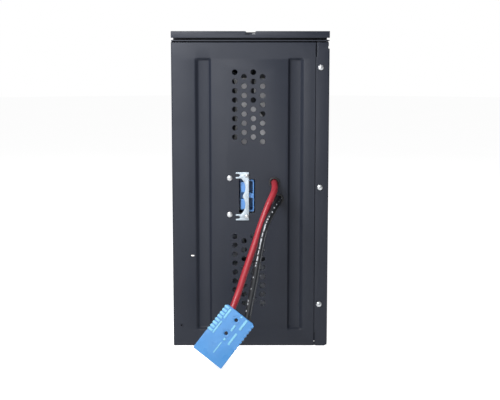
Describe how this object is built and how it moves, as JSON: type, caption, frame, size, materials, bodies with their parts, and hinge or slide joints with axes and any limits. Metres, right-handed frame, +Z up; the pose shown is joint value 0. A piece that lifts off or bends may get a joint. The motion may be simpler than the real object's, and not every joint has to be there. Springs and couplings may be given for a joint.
{
  "type": "battery pack",
  "caption": "External battery pack in a sheet-steel tower, with a rear DC socket, a plug on two short leads, and a lid, side cover and front bezel that come off.",
  "frame": {"origin": "middle of the footprint, on the surface that the feet stand on", "axes": "+Z up; the face with the socket and the leads looks along -Y; +X is to its right"},
  "size_m": [0.22, 0.5501, 0.448],
  "materials": {
    "painted_steel": "dark blue-grey powder coat, fine texture, semi-matt",
    "bare_zinc": "bright zinc plating",
    "black_plastic": "fine moulded texture",
    "grey_case": "light grey moulded case",
    "blue_nylon": "blue moulded nylon, satin",
    "contact_metal": "plated copper",
    "black_rubber": "soft black rubber",
    "red_jacket": "smooth red cable jacket",
    "black_jacket": "smooth black cable jacket"
  },
  "bodies": {
    "cabinet": {"rear_and_left_shell": "painted_steel", "base_tray": "painted_steel", "top_panel": "painted_steel", "front_panel": "painted_steel", "upper_side_rail": "painted_steel", "upper_shelf": "painted_steel", "tier_divider": "painted_steel", "hold_down_bar": "bare_zinc", "plug_retaining_bracket": "bare_zinc", "bracket_screw_upper": "bare_zinc", "bracket_screw_lower": "bare_zinc", "socket_screw_upper": "bare_zinc", "socket_screw_lower": "bare_zinc", "socket_plate": "bare_zinc", "fuse_holder": "black_plastic", "foot_pad_rear_left": "black_rubber", "foot_pad_rear_right": "black_rubber", "foot_pad_front_left": "black_rubber", "foot_pad_front_right": "black_rubber", "red_grommet": "black_rubber", "black_grommet": "black_rubber", "socket_housing": "blue_nylon", "plug_housing": "blue_nylon", "socket_contact_lower": "contact_metal", "socket_contact_upper": "contact_metal", "plug_contact_red": "contact_metal", "plug_contact_black": "contact_metal", "red_lead": "red_jacket", "inner_red_cable": "red_jacket", "socket_red_cable": "red_jacket", "black_lead": "black_jacket", "inner_black_cable": "black_jacket", "socket_black_cable": "black_jacket", "tier_cable_lower": "black_jacket", "tier_cable_upper": "black_jacket", "fuse_cable": "black_jacket", "battery_01": "grey_case", "battery_02": "grey_case", "battery_03": "grey_case", "battery_04": "grey_case", "battery_05": "grey_case", "battery_06": "grey_case", "battery_07": "grey_case", "battery_08": "grey_case", "battery_09": "grey_case", "battery_10": "grey_case", "battery_11": "grey_case", "battery_12": "grey_case", "battery_13": "grey_case", "battery_14": "grey_case", "battery_15": "grey_case", "battery_16": "grey_case", "fuse_link": "grey_case"},
    "lid": {"top_cover": "painted_steel"},
    "right_cover": {"side_cover": "painted_steel", "side_cover_screw_upper": "bare_zinc", "side_cover_screw_middle": "bare_zinc", "side_cover_screw_lower": "bare_zinc"},
    "bezel": {"front_bezel": "black_plastic"}
  },
  "joints": [
    {"name": "top_cover_lift", "type": "slide", "parent": "cabinet", "child": "lid", "axis": [0, 0, 1], "range_m": [0, 0.06]},
    {"name": "side_cover_slide", "type": "slide", "parent": "cabinet", "child": "right_cover", "axis": [0, -1, 0], "range_m": [0, 0.02]},
    {"name": "front_bezel_pull", "type": "slide", "parent": "cabinet", "child": "bezel", "axis": [0, 1, 0], "range_m": [0, 0.03]}
  ]
}
